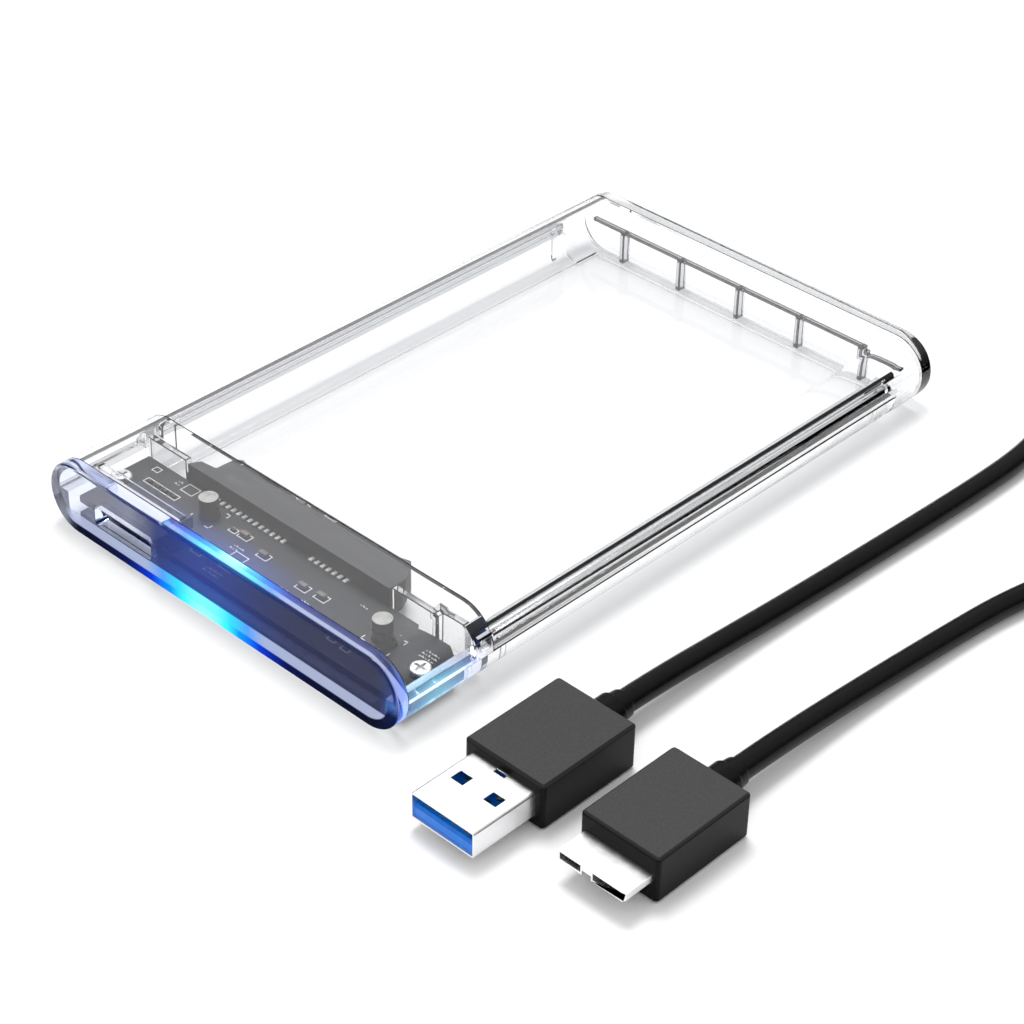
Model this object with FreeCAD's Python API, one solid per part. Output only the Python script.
import FreeCAD, Part
import math
import os

# A clear sliding enclosure for a 2.5-inch drive, with its bridge board and a
# loose USB lead. Millimetres. +Z is up, +Y runs from the port end to the rear,
# and the origin is the middle of the enclosure's underside.

Vec = FreeCAD.Vector

# ---- enclosure ----
WIDTH = 78.0
LENGTH = 125.0
HEIGHT = 12.5
END_RADIUS = HEIGHT / 2.0
SKIN = 1.3
BAY_HALF = 35.6
BAY_CORNER = 2.0
FLOOR_DIP = 0.2
DIP_HALF = WIDTH / 2.0 - END_RADIUS
SIDE_SOLID = 2.9
FRONT_PLATE = 2.4
REAR_PLATE = 2.9
EDGE_ROUND = 0.6
SEAM_GAP = 0.15
RUN_GAP = 0.30

FRONT = -LENGTH / 2.0
REAR = LENGTH / 2.0
CEILING = HEIGHT - SKIN
FRONT_SEAM = FRONT + 19.4
REAR_SEAM = REAR - 10.0
TRAY_TOP = HEIGHT / 2.0 - SEAM_GAP
COVER_BOTTOM = HEIGHT / 2.0 + SEAM_GAP
PANEL_BACK = FRONT + FRONT_PLATE
PLATE_FRONT = REAR - REAR_PLATE
TONGUE_REAR = PLATE_FRONT - 2.0

# ---- slide rails on the tray, and the lips on the cover that run in them ----
RAIL_THICK = 1.2
RAIL_TOP = 9.2
RAIL_END_GAP = 0.9
GROOVE_DEPTH = 0.7
GROOVE_LOW = 7.0
GROOVE_HIGH = 8.2
LIP_PLAY = 0.2
RIB_PROUD = 0.4
RIB_THICK = 1.0
WALL_RIB_Y = (-39.4, 48.9)

# ---- stops for the drive, on the rear plate ----
STOP_PITCH = 13.5
STOP_TOP = 7.4
STOP_HALF = 34.8
RIB_DEPTH = 1.7

# ---- front tabs of the cover ----
TAB_REACH = 1.8
TAB_LOW = 7.0
TAB_HIGH = 8.3
TAB_INNER = 37.15
TAB_OUTER = 37.85

# ---- bridge board ----
BOARD_HALF = 35.5
BOARD_FRONT = -58.1
BOARD_REAR = -45.4
BOARD_LOW = 3.2
BOARD_TOP = 4.4
SCREWS = ((-33.4, -52.7), (33.4, -52.7))
SCREW_HEAD_R = 1.7
SCREW_SHANK_R = 0.8
BOSS_R = 2.2
LOCATING_PEGS = ((-16.3, -49.3), (24.5, -51.3))
LOCATING_R = 1.6
LOCATING_TOP = 8.1
PEGS_X = (-30.0, 17.0)

# ---- drive socket, 7 signal and 15 power contacts on one pitch ----
PITCH = 1.27
SIGNAL_FIRST = 3.1
SIGNAL_COUNT = 7
POWER_COUNT = 15
POWER_LAST = SIGNAL_FIRST - 5.0 * PITCH
SOCKET_LEFT = -25.9
SOCKET_RIGHT = 19.7
SOCKET_FRONT = -45.3
SOCKET_REAR = -38.8
SOCKET_LOW = 2.4
SOCKET_TOP = 7.6
CONTACT_W = 0.6
CONTACT_T = 0.2
TAIL = 0.9

# ---- partition between the board bay and the drive bay ----
PARTITION_Y = -45.3
PARTITION_T = 1.2
PARTITION_TOP = 8.0
PARTITION_JOG = 1.4

# ---- light guide under the board's front edge ----
GUIDE_HALF = 33.0
GUIDE_DEPTH = 1.7
GUIDE_TOP = 3.6

# ---- port, ten contacts ----
PORT_X = -21.2
PORT_W = 12.8
PORT_H = 3.0
PORT_Z = BOARD_TOP + PORT_H / 2.0
PORT_DEPTH = 6.2
SHEET = 0.3

# ---- lead ----
CORD_D = 3.8
CORD_R = CORD_D / 2.0
LAY = CORD_R + 0.05
PLUG_Z = 4.0
MOULD_L = 19.0
MOULD_H = 8.0
MOULD_ROUND = 0.7
A_X = 58.3
A_FRONT = -61.0
A_MOULD_W = 15.0
A_SHELL_W = 12.0
A_SHELL_H = 4.5
A_EXPOSED = 11.8
B_X = 79.2
B_FRONT = -60.7
B_MOULD_W = 14.0
B_SHELL_W = 12.1
B_SHELL_H = 1.8
B_EXPOSED = 5.2
SUNK = 2.0
COLLAR_R = 2.8
COLLAR_L = 3.4
TAPER_L = 2.1
COIL_X = 78.0
COIL_Y = 95.0
COIL_R = 22.6
COIL_H = 2.0 * CORD_D + 0.2
COIL_BAND = CORD_R + 0.5

A_END = A_FRONT + MOULD_L + COLLAR_L + TAPER_L
B_END = B_FRONT + MOULD_L + COLLAR_L + TAPER_L

ROUTE_A = (
    (A_X, A_END, PLUG_Z),
    (A_X, -28.5, PLUG_Z),
    (58.4, -14.0, 2.7),
    (59.1, 6.0, LAY),
    (60.9, 45.0, LAY),
    (60.6, 62.0, LAY),
    (56.8, 76.0, LAY),
    (COIL_X - COIL_R, 90.0, LAY),
)
ROUTE_B = (
    (B_X, B_END, PLUG_Z),
    (B_X, -28.2, PLUG_Z),
    (79.3, -12.0, 2.7),
    (80.3, 8.0, LAY),
    (82.0, 26.0, LAY),
    (86.6, 42.0, LAY),
    (94.8, 56.0, LAY),
    (99.6, 70.0, 2.7),
    (COIL_X + COIL_R, 83.0, 5.1),
    (COIL_X + COIL_R, 93.0, 5.7),
)

os.makedirs("parts", exist_ok=True)


# ---- shapes ----

def box(x0, x1, y0, y1, z0, z1):
    return Part.makeBox(x1 - x0, y1 - y0, z1 - z0, Vec(x0, y0, z0))


def post(x, y, z0, z1, radius):
    return Part.makeCylinder(radius, z1 - z0, Vec(x, y, z0), Vec(0, 0, 1))


def rod_y(x, z, y0, y1, radius):
    return Part.makeCylinder(radius, y1 - y0, Vec(x, y0, z), Vec(0, 1, 0))


def stadium(width, height, middle_z, y0, y1, middle_x=0.0):
    """A bar along Y whose section has half-round ends."""
    radius = height / 2.0
    reach = width / 2.0 - radius
    low = middle_z - radius
    high = middle_z + radius
    left = middle_x - reach
    right = middle_x + reach
    edges = [
        Part.makeLine(Vec(left, y0, low), Vec(right, y0, low)),
        Part.Arc(Vec(right, y0, low), Vec(right + radius, y0, middle_z), Vec(right, y0, high)).toShape(),
        Part.makeLine(Vec(right, y0, high), Vec(left, y0, high)),
        Part.Arc(Vec(left, y0, high), Vec(left - radius, y0, middle_z), Vec(left, y0, low)).toShape(),
    ]
    return Part.Face(Part.Wire(edges)).extrude(Vec(0, y1 - y0, 0))


def prism_y(outline, y0, y1):
    """A bar along Y from an (x, z) outline."""
    points = [Vec(x, y0, z) for x, z in outline]
    return Part.Face(Part.makePolygon(points + points[:1])).extrude(Vec(0, y1 - y0, 0))


def prism_z(outline, z0, z1):
    """A plate from an (x, y) outline."""
    points = [Vec(x, y, z0) for x, y in outline]
    return Part.Face(Part.makePolygon(points + points[:1])).extrude(Vec(0, 0, z1 - z0))


def edges_along(shape, axis):
    """The straight edges that run along one axis."""
    found = []
    for edge in shape.Edges:
        run = edge.Vertexes[-1].Point - edge.Vertexes[0].Point
        if edge.Curve.TypeId == "Part::GeomLine" and abs(abs(run.normalize().dot(axis)) - 1.0) < 1e-6:
            found.append(edge)
    return found


def edges_at_y(shape, y):
    """The edges that lie wholly in the plane of one Y."""
    return [edge for edge in shape.Edges if abs(edge.BoundBox.YMin - y) + abs(edge.BoundBox.YMax - y) < 1e-4]


def union(first, *others):
    return first.multiFuse(list(others)).removeSplitter()


def save(name, *solids):
    shape = solids[0] if len(solids) == 1 else Part.makeCompound(list(solids))
    for solid in shape.Solids:
        if not solid.isValid():
            print("not valid:", name)
    shape.exportStep("parts/" + name + ".step")
    print(name, len(shape.Solids), round(shape.Volume, 2))


def rounded_case(y0, y1):
    return stadium(WIDTH, HEIGHT, END_RADIUS, y0, y1)


def rounded_bay(y0, y1):
    return stadium(WIDTH - 2 * SKIN, HEIGHT - 2 * SKIN, HEIGHT / 2, y0, y1)


def mirrored(shape):
    return shape.mirror(Vec(0, 0, 0), Vec(1, 0, 0))


# ---- lower tray: floor, low side walls, slide rails, bosses ----

def slide_rail():
    rail_front = FRONT_SEAM + RAIL_END_GAP
    rail_rear = REAR_SEAM - RAIL_END_GAP
    outer = BAY_HALF + RAIL_THICK
    rail = box(BAY_HALF, outer, rail_front, rail_rear, TRAY_TOP - 1.0, RAIL_TOP)
    ends = [edge for edge in edges_along(rail, Vec(1, 0, 0)) if edge.BoundBox.ZMin > RAIL_TOP - 0.1]
    rail = rail.makeFillet(1.4, ends)
    groove = box(outer - GROOVE_DEPTH, outer + 1.0, rail_front - 1.0, rail_rear + 1.0, GROOVE_LOW, GROOVE_HIGH)
    return rail.cut(groove)


def wall_rib(y):
    return box(BAY_HALF - RIB_PROUD, BAY_HALF + 0.2, y - RIB_THICK / 2.0, y + RIB_THICK / 2.0, SKIN - 0.2, RAIL_TOP - 0.6)


def tray_bay():
    """The tray's open middle, with its two lower corners rounded."""
    bay = box(-BAY_HALF, BAY_HALF, FRONT, REAR, SKIN, HEIGHT)
    low_corners = [edge for edge in edges_along(bay, Vec(0, 1, 0)) if edge.BoundBox.ZMax < SKIN + 0.1]
    return bay.makeFillet(BAY_CORNER, low_corners)


def base_tray():
    solid = rounded_case(PANEL_BACK, REAR_SEAM - SEAM_GAP)
    solid = solid.cut(box(-WIDTH, WIDTH, FRONT, REAR, TRAY_TOP, HEIGHT + 1.0))
    solid = solid.cut(tray_bay())
    solid = solid.cut(box(-DIP_HALF, DIP_HALF, PARTITION_Y + 3.0, REAR, SKIN - FLOOR_DIP, HEIGHT))
    tongue = box(-DIP_HALF, DIP_HALF, REAR_SEAM - 1.0, TONGUE_REAR, 0.0, SKIN - FLOOR_DIP)
    solid = union(solid, tongue)
    extras = [slide_rail(), mirrored(slide_rail())]
    for y in WALL_RIB_Y:
        extras += [wall_rib(y), mirrored(wall_rib(y))]
    for x, y in SCREWS:
        extras.append(post(x, y, SKIN - 0.2, BOARD_LOW, BOSS_R))
    for x in PEGS_X:
        peg = box(x - 1.3, x + 1.3, BOARD_FRONT + 0.1, BOARD_FRONT + 1.3, SKIN - 0.2, BOARD_LOW)
        extras.append(peg.cut(box(x - 0.6, x + 0.6, FRONT, BOARD_FRONT + 2.0, SKIN, BOARD_LOW - 0.7)))
    solid = union(solid, *extras)
    for x, y in SCREWS:
        solid = solid.cut(post(x, y, SKIN, BOARD_LOW + 1.0, SCREW_SHANK_R + 0.05))
    return solid


# ---- fixed front hood and its light panel ----

def front_hood():
    solid = rounded_case(PANEL_BACK, FRONT_SEAM)
    solid = solid.cut(box(-WIDTH, WIDTH, FRONT, REAR, -1.0, TRAY_TOP))
    solid = solid.cut(rounded_bay(FRONT, FRONT_SEAM - SIDE_SOLID))
    solid = solid.cut(rounded_bay(FRONT, REAR).common(box(-BAY_HALF, BAY_HALF, FRONT, REAR, -1.0, HEIGHT)))
    bar = box(-31.0, -11.5, -58.9, -57.7, CEILING - 0.7, CEILING + 0.2)
    solid = union(solid, bar)
    slot = box(TAB_INNER - RUN_GAP, TAB_OUTER + RUN_GAP, FRONT_SEAM - TAB_REACH - RUN_GAP, FRONT_SEAM + 1.0,
               TAB_LOW - RUN_GAP, TAB_HIGH + RUN_GAP)
    return solid.cut(slot).cut(mirrored(slot))


def front_light_panel():
    solid = rounded_case(FRONT, PANEL_BACK)
    solid = solid.makeFillet(EDGE_ROUND, edges_at_y(solid, FRONT))
    mouth = box(PORT_X - PORT_W / 2 - 0.3, PORT_X + PORT_W / 2 + 0.3, FRONT - 1, PANEL_BACK + 1,
                PORT_Z - PORT_H / 2 - 0.3, PORT_Z + PORT_H / 2 + 0.3)
    mouth = mouth.makeFillet(0.8, edges_along(mouth, Vec(0, 1, 0)))
    return solid.cut(mouth)


def light_guide():
    return box(-GUIDE_HALF, GUIDE_HALF, PANEL_BACK, PANEL_BACK + GUIDE_DEPTH, SKIN, GUIDE_TOP)


def partition_wall():
    back = PARTITION_Y + PARTITION_T
    jog_x = 29.0
    left = box(-BAY_HALF, SOCKET_LEFT - 0.5, PARTITION_Y, back, SKIN, PARTITION_TOP)
    sill = box(SOCKET_LEFT - 0.5, SOCKET_RIGHT + 0.5, PARTITION_Y, back, SKIN, SOCKET_LOW - 0.1)
    right = box(SOCKET_RIGHT + 0.5, jog_x, PARTITION_Y, back, SKIN, PARTITION_TOP)
    step = box(jog_x - PARTITION_T, jog_x, PARTITION_Y, back + PARTITION_JOG, SKIN, PARTITION_TOP)
    outline = (
        (jog_x - 0.2, SKIN), (BAY_HALF, SKIN), (BAY_HALF, PARTITION_TOP - 2.4),
        (BAY_HALF - 2.4, PARTITION_TOP), (jog_x - 0.2, PARTITION_TOP),
    )
    end = prism_y(outline, PARTITION_Y + PARTITION_JOG, back + PARTITION_JOG)
    return union(left, sill, right, step, end).common(tray_bay())


# ---- bridge board and what is soldered to it ----

def bridge_board():
    outline = (
        (-BOARD_HALF, BOARD_FRONT), (BOARD_HALF, BOARD_FRONT), (BOARD_HALF, BOARD_REAR - 2.1),
        (BOARD_HALF - 3.3, BOARD_REAR), (-BOARD_HALF, BOARD_REAR),
    )
    solid = prism_z(outline, BOARD_LOW, BOARD_TOP)
    for x, y in SCREWS:
        solid = solid.cut(post(x, y, 0, HEIGHT, SCREW_SHANK_R + 0.2))
    for x, y in LOCATING_PEGS:
        solid = solid.cut(post(x, y, 0, HEIGHT, LOCATING_R + 0.15))
    return solid


def board_screw(x, y):
    shank = post(x, y, SKIN + 0.5, BOARD_TOP + 0.1, SCREW_SHANK_R)
    head = post(x, y, BOARD_TOP, BOARD_TOP + 1.0, SCREW_HEAD_R)
    head = head.makeFillet(0.35, [edge for edge in head.Edges if edge.BoundBox.ZMin > BOARD_TOP + 0.9])
    screw = union(shank, head)
    top = BOARD_TOP + 1.0
    for long_x, long_y in ((1.1, 0.22), (0.22, 1.1)):
        screw = screw.cut(box(x - long_x, x + long_x, y - long_y, y + long_y, top - 0.6, top + 0.1))
    return screw


def contact_places():
    signal = [SIGNAL_FIRST + PITCH * i for i in range(SIGNAL_COUNT)]
    power = [POWER_LAST - PITCH * i for i in range(POWER_COUNT)]
    return signal + power


def socket_contact(x):
    return box(x - CONTACT_W / 2, x + CONTACT_W / 2, SOCKET_FRONT - TAIL, SOCKET_REAR - 1.0,
               BOARD_TOP, BOARD_TOP + CONTACT_T)


def socket_housing():
    outline = (
        (SOCKET_LEFT, SOCKET_FRONT), (SOCKET_RIGHT, SOCKET_FRONT), (SOCKET_RIGHT, SOCKET_REAR - 3.2),
        (SOCKET_RIGHT - 1.0, SOCKET_REAR - 1.3), (SOCKET_RIGHT - 2.6, SOCKET_REAR + 0.5),
        (SOCKET_RIGHT - 4.4, SOCKET_REAR), (SOCKET_LEFT + 6.5, SOCKET_REAR),
        (SOCKET_LEFT + 5.4, SOCKET_REAR + 0.3), (SOCKET_LEFT + 4.3, SOCKET_REAR - 0.6),
        (SOCKET_LEFT + 4.1, SOCKET_REAR - 4.2), (SOCKET_LEFT + 1.0, SOCKET_REAR - 4.6),
    )
    body = prism_z(outline, SOCKET_LOW, SOCKET_TOP)
    slot_z = BOARD_TOP + CONTACT_T
    signal_last = SIGNAL_FIRST + PITCH * (SIGNAL_COUNT - 1)
    power_first = POWER_LAST - PITCH * (POWER_COUNT - 1)
    for x0, x1 in ((power_first - 1.3, POWER_LAST + 1.1), (SIGNAL_FIRST - 1.1, signal_last + 1.3)):
        body = body.cut(box(x0, x1, SOCKET_REAR - 5.2, SOCKET_REAR + 2.0, slot_z, slot_z + 1.5))
    key_slot = box(SIGNAL_FIRST - 1.1, SIGNAL_FIRST + 0.2, SOCKET_REAR - 5.2, SOCKET_REAR + 2.0, slot_z, slot_z + 2.2)
    body = body.cut(key_slot)
    for x in contact_places():
        body = body.cut(socket_contact(x))
    return body


def port_shell():
    y0 = PANEL_BACK + 0.1
    y1 = y0 + PORT_DEPTH
    half_w = PORT_W / 2
    half_h = PORT_H / 2
    cut = 0.9

    def ring(w, h, c):
        return (
            (PORT_X - w + c, PORT_Z - h), (PORT_X + w - c, PORT_Z - h), (PORT_X + w, PORT_Z - h + c),
            (PORT_X + w, PORT_Z + h), (PORT_X - w, PORT_Z + h), (PORT_X - w, PORT_Z - h + c),
        )

    shell = prism_y(ring(half_w, half_h, cut), y0, y1)
    hollow = prism_y(ring(half_w - SHEET, half_h - SHEET, cut - 0.1), y0 - 1.0, y1 - SHEET)
    shell = shell.cut(hollow)
    wings = []
    for side in (-1, 1):
        inner = PORT_X + side * (half_w - 1.2)
        outer = PORT_X + side * (half_w + 1.3)
        wings.append(box(min(inner, outer), max(inner, outer), y0 + 2.4, y0 + 4.4, BOARD_TOP, BOARD_TOP + SHEET))
    return union(shell, *wings)


def port_tongue():
    y1 = PANEL_BACK + 0.1 + PORT_DEPTH - SHEET
    roof = PORT_Z + PORT_H / 2 - SHEET
    floor = PORT_Z - PORT_H / 2 + SHEET
    back = box(PORT_X - 5.2, PORT_X + 5.2, y1 - 1.4, y1, floor, roof)
    wide = box(PORT_X - 0.9, PORT_X + 5.0, y1 - 4.6, y1 - 1.3, PORT_Z - 0.45, PORT_Z + 0.35)
    small = box(PORT_X - 5.0, PORT_X - 2.0, y1 - 4.6, y1 - 1.3, PORT_Z - 0.45, PORT_Z + 0.35)
    return union(back, wide, small)


def port_contacts():
    y1 = PANEL_BACK + 0.1 + PORT_DEPTH - SHEET
    middles = [PORT_X + 0.7 + 0.65 * i for i in range(5)] + [PORT_X - 4.6 + 0.55 * i for i in range(5)]
    return [box(x - 0.15, x + 0.15, y1 - 4.4, y1 - 1.4, PORT_Z - 0.55, PORT_Z - 0.45) for x in middles]


def two_ended(x, y, z, long, wide, tall):
    return box(x - long / 2, x + long / 2, y - wide / 2, y + wide / 2, z, z + tall)


# ---- sliding cover ----

def sliding_cover():
    front = FRONT_SEAM + SEAM_GAP
    upper = rounded_case(front, REAR_SEAM)
    upper = upper.cut(box(-WIDTH, WIDTH, FRONT, REAR, -1.0, COVER_BOTTOM))
    ring = rounded_case(REAR_SEAM, PLATE_FRONT)
    solid = union(upper, ring)
    rail_clear = BAY_HALF + RAIL_THICK + RUN_GAP
    solid = solid.cut(rounded_bay(FRONT, REAR))
    solid = solid.cut(box(-rail_clear, rail_clear, FRONT, REAR_SEAM + 0.8, -1.0, RAIL_TOP + RUN_GAP)
                      .cut(box(-WIDTH, WIDTH, REAR_SEAM, REAR, -1.0, COVER_BOTTOM)))
    solid = solid.cut(box(-DIP_HALF - SEAM_GAP, DIP_HALF + SEAM_GAP, FRONT, TONGUE_REAR + SEAM_GAP, -1.0, SKIN + 0.5))
    lip = box(BAY_HALF + RAIL_THICK - GROOVE_DEPTH + 0.25, rail_clear + 0.9, front + RAIL_END_GAP, REAR_SEAM - 0.6,
              GROOVE_LOW + LIP_PLAY, GROOVE_HIGH - LIP_PLAY)
    tab = box(TAB_INNER, TAB_OUTER, front - TAB_REACH, front + 1.5, TAB_LOW, TAB_HIGH)
    tab = tab.makeFillet(0.35, edges_along(tab, Vec(0, 0, 1))[:2])
    return union(solid, lip, mirrored(lip), tab, mirrored(tab))


def rear_end_plate():
    solid = rounded_case(PLATE_FRONT, REAR)
    return solid.makeFillet(EDGE_ROUND, edges_at_y(solid, REAR))


def drive_stop_ribs():
    rib_x = [STOP_PITCH * i for i in (-2, -1, 0, 1, 2)]
    ledge = box(-STOP_HALF, rib_x[-1], PLATE_FRONT - 0.9, PLATE_FRONT, STOP_TOP - 0.7, STOP_TOP)
    low_ledge = box(rib_x[-1], STOP_HALF, PLATE_FRONT - 0.9, PLATE_FRONT, STOP_TOP - 1.4, STOP_TOP - 0.7)
    ribs = [box(x - 0.5, x + 0.5, PLATE_FRONT - RIB_DEPTH, PLATE_FRONT, SKIN, STOP_TOP) for x in rib_x]
    return union(ledge, low_ledge, *ribs)


# ---- lead ----

def mould(x, front, width):
    body = box(x - width / 2, x + width / 2, front, front + MOULD_L, 0.0, MOULD_H)
    body = body.makeFillet(MOULD_ROUND, edges_along(body, Vec(0, 0, 1)))
    rims = [edge for edge in body.Edges if edge.BoundBox.ZLength < 1e-4]
    return body.makeChamfer(0.45, rims)


def collar(x, front):
    y0 = front + MOULD_L
    body = Part.makeCylinder(COLLAR_R, COLLAR_L, Vec(x, y0, PLUG_Z), Vec(0, 1, 0))
    taper = Part.makeCone(COLLAR_R - 0.35, CORD_R + 0.35, TAPER_L, Vec(x, y0 + COLLAR_L, PLUG_Z), Vec(0, 1, 0))
    return union(body, taper)


def usb_a_pieces():
    tip = A_FRONT - A_EXPOSED
    back = A_FRONT + SUNK
    half_w = A_SHELL_W / 2
    half_h = A_SHELL_H / 2
    outer = box(A_X - half_w, A_X + half_w, tip, back, PLUG_Z - half_h, PLUG_Z + half_h)
    outer = outer.makeFillet(0.5, edges_along(outer, Vec(0, 1, 0)))
    inner_w = half_w - SHEET
    inner_h = half_h - SHEET
    hollow = box(A_X - inner_w, A_X + inner_w, tip - 1, back - SHEET, PLUG_Z - inner_h, PLUG_Z + inner_h)
    shell = outer.cut(hollow)
    window_y = tip + 6.9
    for side in (-1, 1):
        x = A_X + side * 3.1
        shell = shell.cut(box(x - 1.15, x + 1.15, window_y - 1.05, window_y + 1.05, PLUG_Z, HEIGHT))
    shell = shell.cut(box(A_X - 1.0, A_X + 1.0, A_FRONT - 0.9, A_FRONT - 0.2, PLUG_Z, HEIGHT))
    top = PLUG_Z - inner_h + 1.95
    insulator = box(A_X - inner_w, A_X + inner_w, tip + 0.35, back - SHEET, PLUG_Z - inner_h, top)
    nose = [edge for edge in insulator.Edges
            if abs(edge.BoundBox.YMax - tip - 0.35) < 1e-4 and edge.BoundBox.ZMin > top - 0.01]
    insulator = insulator.makeChamfer(0.4, nose)
    contacts = []
    for offset in (-3.5, -1.0, 1.0, 3.5):
        contacts.append(box(A_X + offset - 0.5, A_X + offset + 0.5, tip + 1.3, tip + 8.0, top, top + 0.1))
    for offset in (-4.0, -2.0, 0.0, 2.0, 4.0):
        contacts.append(box(A_X + offset - 0.3, A_X + offset + 0.3, tip + 8.8, tip + 11.0, top, top + 0.35))
    body = mould(A_X, A_FRONT, A_MOULD_W).cut(outer)
    return body, shell, insulator, contacts


def micro_b_pieces():
    tip = B_FRONT - B_EXPOSED
    back = B_FRONT + SUNK
    half_w = B_SHELL_W / 2
    low = PLUG_Z - B_SHELL_H / 2
    high = PLUG_Z + B_SHELL_H / 2
    notch_left = B_X - 1.75
    notch_right = B_X - 0.15
    outline = (
        (B_X - half_w + 0.4, low), (notch_left, low), (notch_left, low + 0.8), (notch_right, low + 0.8),
        (notch_right, low), (B_X + half_w - 0.6, low), (B_X + half_w, low + 0.6), (B_X + half_w, high),
        (B_X - half_w, high), (B_X - half_w, low + 0.4),
    )
    outer = prism_y(outline, tip, back)
    rooms = ((B_X - half_w + 0.3, notch_left - 0.3), (notch_right + 0.3, B_X + half_w - 0.45))
    shell = outer
    insulators = []
    contacts = []
    for x0, x1 in rooms:
        shell = shell.cut(box(x0, x1, tip - 1, back - SHEET, low + 0.35, high - 0.3))
        insulators.append(box(x0, x1, tip + 1.4, back - SHEET, low + 0.35, high - 0.3))
        pitch = (x1 - x0) / 6.0
        for i in range(5):
            x = x0 + pitch * (i + 1)
            contacts.append(box(x - 0.14, x + 0.14, tip + 0.5, tip + 1.4, low + 0.5, low + 0.62))
    envelope = box(B_X - half_w, B_X + half_w, B_FRONT - 1, back, low, high)
    body = mould(B_X, B_FRONT, B_MOULD_W).cut(envelope)
    key = box(notch_left, notch_right, B_FRONT, back, low, low + 0.8)
    return body, shell, insulators, contacts, key


def rounded_path(points):
    """Straight runs joined by tangent arcs, each arc as large as its runs allow."""
    points = [Vec(*point) for point in points]
    edges = []
    radii = []
    start = points[0]
    for before, corner, after in zip(points, points[1:], points[2:]):
        back = before - corner
        ahead = after - corner
        shorter = min(back.Length, ahead.Length)
        back.normalize()
        ahead.normalize()
        half_turn = (math.pi - back.getAngle(ahead)) / 2.0
        setback = 0.45 * shorter
        radius = setback / math.tan(half_turn)
        radii.append(round(radius, 1))
        enter = corner + back * setback
        leave = corner + ahead * setback
        inward = (back + ahead).normalize()
        crown = corner + inward * (radius / math.cos(half_turn) - radius)
        edges.append(Part.LineSegment(start, enter).toShape())
        edges.append(Part.Arc(enter, crown, leave).toShape())
        start = leave
    edges.append(Part.LineSegment(start, points[-1]).toShape())
    return Part.Wire(edges), radii


def cord_tube(name, points):
    path, radii = rounded_path(points)
    start = Vec(*points[0])
    heading = Vec(*points[1]) - start
    profile = Part.Wire([Part.makeCircle(CORD_R, start, heading)])
    tube = path.makePipeShell([profile], True, False)
    expected = math.pi * CORD_R ** 2 * path.Length
    print(name, "radii", radii, "length", round(path.Length, 1), "volume ratio", round(tube.Volume / expected, 4))
    return tube


# ---- write the nodes ----

save("base_tray", base_tray())
save("front_hood", front_hood())
save("front_light_panel", front_light_panel())
save("light_guide", light_guide())
save("partition_wall", partition_wall())
save("locating_pegs", *[post(x, y, SKIN, LOCATING_TOP, LOCATING_R) for x, y in LOCATING_PEGS])

save("bridge_board", bridge_board())
save("board_screws", *[board_screw(x, y) for x, y in SCREWS])
save("drive_socket_housing", socket_housing())
save("drive_socket_contacts", *[socket_contact(x) for x in contact_places()])
save("port_shell", port_shell())
save("port_tongue", port_tongue())
save("port_contacts", *port_contacts())

CHIP_TALL = 0.9
save("bridge_chip", two_ended(4.0, -52.6, BOARD_LOW - CHIP_TALL, 7.0, 7.0, CHIP_TALL))
save("flash_chip", two_ended(-9.5, -54.5, BOARD_LOW - CHIP_TALL, 5.0, 4.0, CHIP_TALL))
save("crystal", two_ended(-3.0, -55.4, BOARD_LOW - 0.7, 3.2, 2.5, 0.7))
save("power_inductor", two_ended(14.0, -54.0, BOARD_LOW - 1.5, 4.0, 4.0, 1.5))
save("ceramic_capacitors", *[two_ended(x, y, BOARD_TOP, 1.6, 0.8, 0.8) for x, y in
                             ((-8.4, -49.0), (7.4, -51.4), (11.2, -51.1), (-2.6, -50.3), (-11.3, -54.6))])
save("chip_resistors", *[two_ended(x, y, BOARD_TOP, 1.0, 0.5, 0.35) for x, y in
                         ((-29.9, -49.9), (-28.0, -49.9), (-26.1, -49.9), (-24.2, -49.9), (-10.8, -49.2),
                          (19.0, -54.8), (22.0, -55.0))])
save("status_led", two_ended(2.0, BOARD_FRONT + 0.6, BOARD_LOW - 0.8, 3.0, 1.2, 0.8))

save("sliding_cover", sliding_cover())
save("rear_end_plate", rear_end_plate())
save("drive_stop_ribs", drive_stop_ribs())

a_mould, a_shell, a_insulator, a_contacts = usb_a_pieces()
save("usb_a_overmould", a_mould)
save("usb_a_shell", a_shell)
save("usb_a_insulator", a_insulator)
save("usb_a_contacts", *a_contacts)
save("usb_a_strain_relief", collar(A_X, A_FRONT))

b_mould, b_shell, b_insulators, b_contacts, b_key = micro_b_pieces()
save("micro_b_overmould", union(b_mould, b_key))
save("micro_b_shell", b_shell)
save("micro_b_insulators", *b_insulators)
save("micro_b_contacts", *b_contacts)
save("micro_b_strain_relief", collar(B_X, B_FRONT))

save("cord_a_tube", cord_tube("cord_a_tube", ROUTE_A))
save("cord_b_tube", cord_tube("cord_b_tube", ROUTE_B))
coil_hub = Vec(COIL_X, COIL_Y, 0.0)
coil = Part.makeCylinder(COIL_R + COIL_BAND, COIL_H, coil_hub)
save("cord_coil", coil.cut(Part.makeCylinder(COIL_R - COIL_BAND, COIL_H, coil_hub)))
